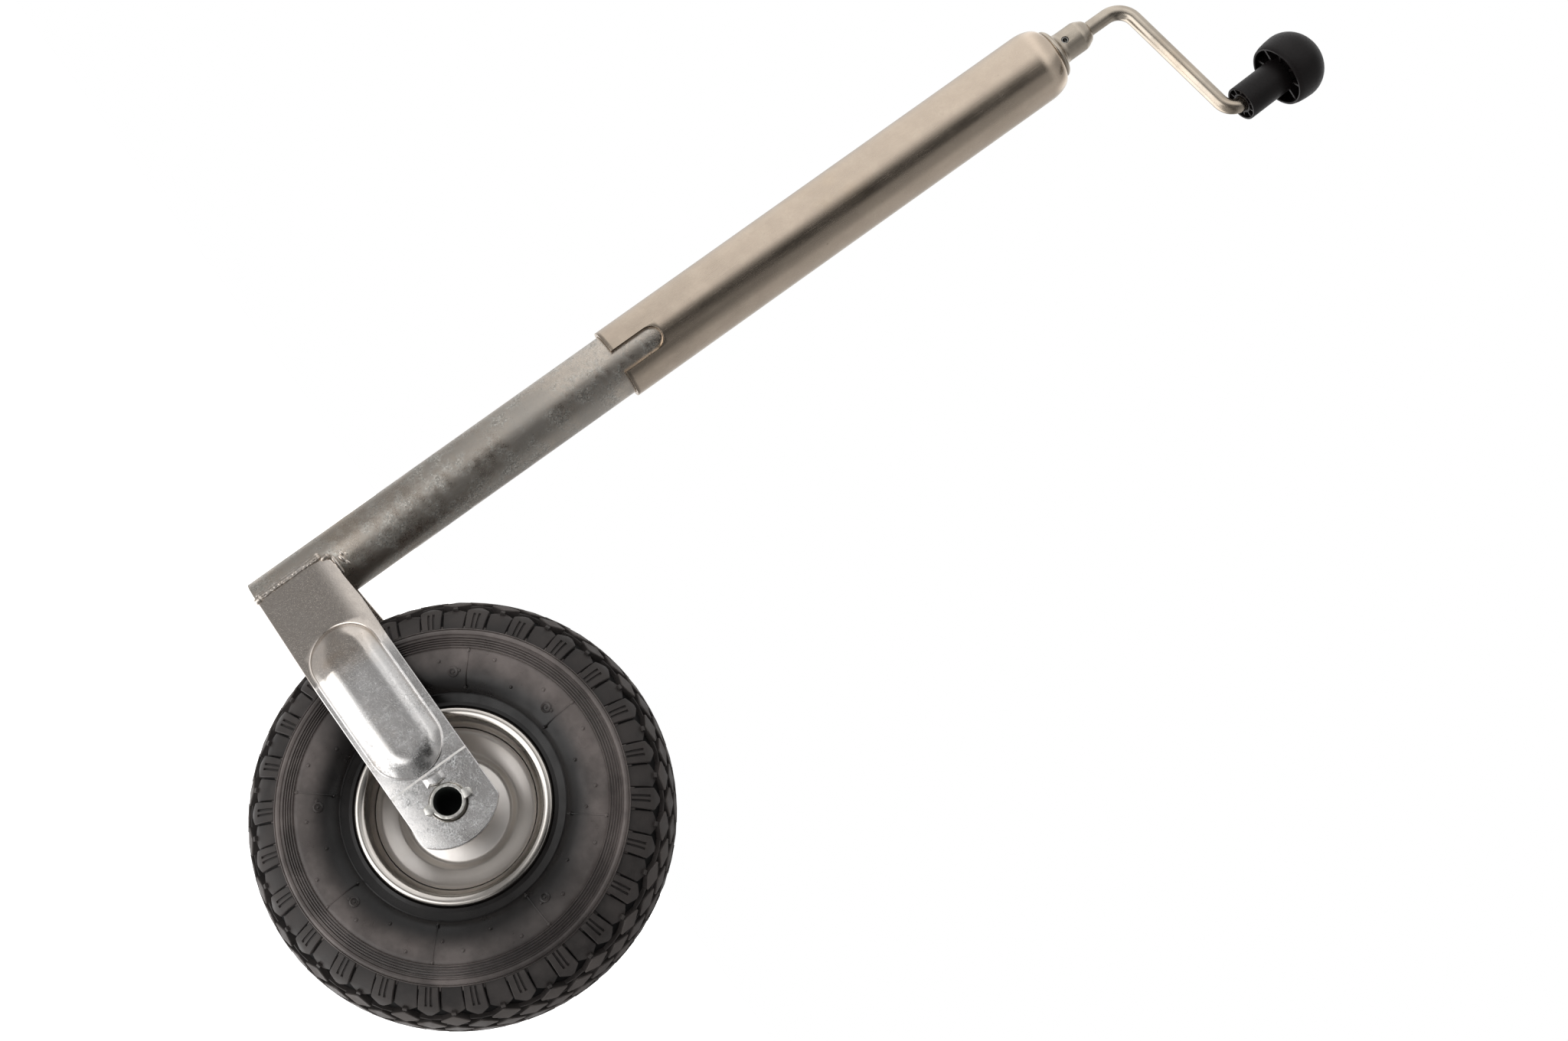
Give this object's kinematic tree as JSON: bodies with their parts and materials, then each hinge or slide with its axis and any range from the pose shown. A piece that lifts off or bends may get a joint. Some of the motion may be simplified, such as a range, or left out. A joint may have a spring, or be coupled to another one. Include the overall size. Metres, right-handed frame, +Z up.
{
  "type": "trailer jockey wheel jack",
  "caption": "Trailer tongue jack: a crank-driven telescopic tube with a swivelling fork and an air-filled jockey wheel.",
  "frame": {"origin": "on the tube axis, at the middle of the plain length of the outer tube that the drawbar clamp grips", "axes": "+Z up the tube towards the crank, +X towards the wheel's side at rest, Y along the axle"},
  "size_m": [0.332, 0.1098, 0.861],
  "materials": {
    "zinc_tube": "warm grey zinc plating, satin",
    "zinc_inner": "blue-grey zinc plating, mottled",
    "zinc_plate": "bright zinc plating with spangle",
    "zinc_crank": "satin zinc plating",
    "rim_zinc": "glossy zinc plating",
    "bare_steel": "turned steel, greased",
    "bronze": "cast bronze",
    "nylon": "natural nylon",
    "black_plastic": "moulded, matte",
    "tyre_rubber": "matte moulded rubber",
    "tube_rubber": "smooth butyl"
  },
  "bodies": {
    "outer_tube": {"outer_tube": "zinc_tube", "dome_bush": "bronze", "thrust_race_upper": "bare_steel"},
    "crank": {"crank_socket": "zinc_crank", "crank_rod": "zinc_crank", "crank_spring_pin": "bare_steel", "spindle": "bare_steel", "thrust_race_lower": "bare_steel", "spindle_stop_pin": "bare_steel", "spindle_stop_washer": "zinc_inner", "knob_push_nut": "bare_steel"},
    "bearing_cage": {"thrust_cage": "bronze", "thrust_ball_1": "bare_steel", "thrust_ball_2": "bare_steel", "thrust_ball_3": "bare_steel", "thrust_ball_4": "bare_steel", "thrust_ball_5": "bare_steel", "thrust_ball_6": "bare_steel", "thrust_ball_7": "bare_steel", "thrust_ball_8": "bare_steel"},
    "carrier": {"guide_ring": "nylon"},
    "fork": {"inner_tube": "zinc_inner", "spindle_nut": "bronze", "fork_arm_near": "zinc_plate", "fork_arm_far": "zinc_plate", "axle_tube": "zinc_inner", "axle_washer_near": "zinc_inner", "axle_washer_far": "zinc_inner"},
    "wheel": {"hub_tube": "bare_steel", "hub_bush_near": "nylon", "hub_bush_far": "nylon", "rim_barrel": "rim_zinc", "wheel_disc_near": "rim_zinc", "wheel_disc_far": "rim_zinc", "tyre": "tyre_rubber", "air_tube": "tube_rubber", "valve_stem": "bare_steel", "valve_cap": "black_plastic"},
    "knob": {"knob_sleeve": "black_plastic", "knob_head": "black_plastic"}
  },
  "joints": [
    {"name": "crank_turn", "type": "hinge", "parent": "outer_tube", "child": "crank", "pos_m": [0, 0, 0], "axis": [0, 0, 1], "range_deg": [-1800, 19080]},
    {"name": "cage_turn", "type": "hinge", "parent": "outer_tube", "child": "bearing_cage", "pos_m": [0, 0, 0], "axis": [0, 0, 1], "range_deg": [-902, 9542]},
    {"name": "extension", "type": "slide", "parent": "outer_tube", "child": "carrier", "axis": [0, 0, 1], "range_m": [-0.0201, 0.2121]},
    {"name": "swivel", "type": "hinge", "parent": "carrier", "child": "fork", "pos_m": [0, 0, 0], "axis": [0, 0, 1], "continuous": true},
    {"name": "wheel_spin", "type": "hinge", "parent": "fork", "child": "wheel", "pos_m": [0.178, 0, -0.424], "axis": [0, 1, 0], "continuous": true},
    {"name": "knob_spin", "type": "hinge", "parent": "crank", "child": "knob", "pos_m": [0.1018, 0, 0.2328], "axis": [-0.069, 0.1557, 0.9854], "continuous": true}
  ],
  "couplings": [
    {"joint": "cage_turn", "follows": "crank_turn", "ratio": 0.5},
    {"joint": "extension", "follows": "crank_turn", "m_per_rad": 0.00063662}
  ]
}
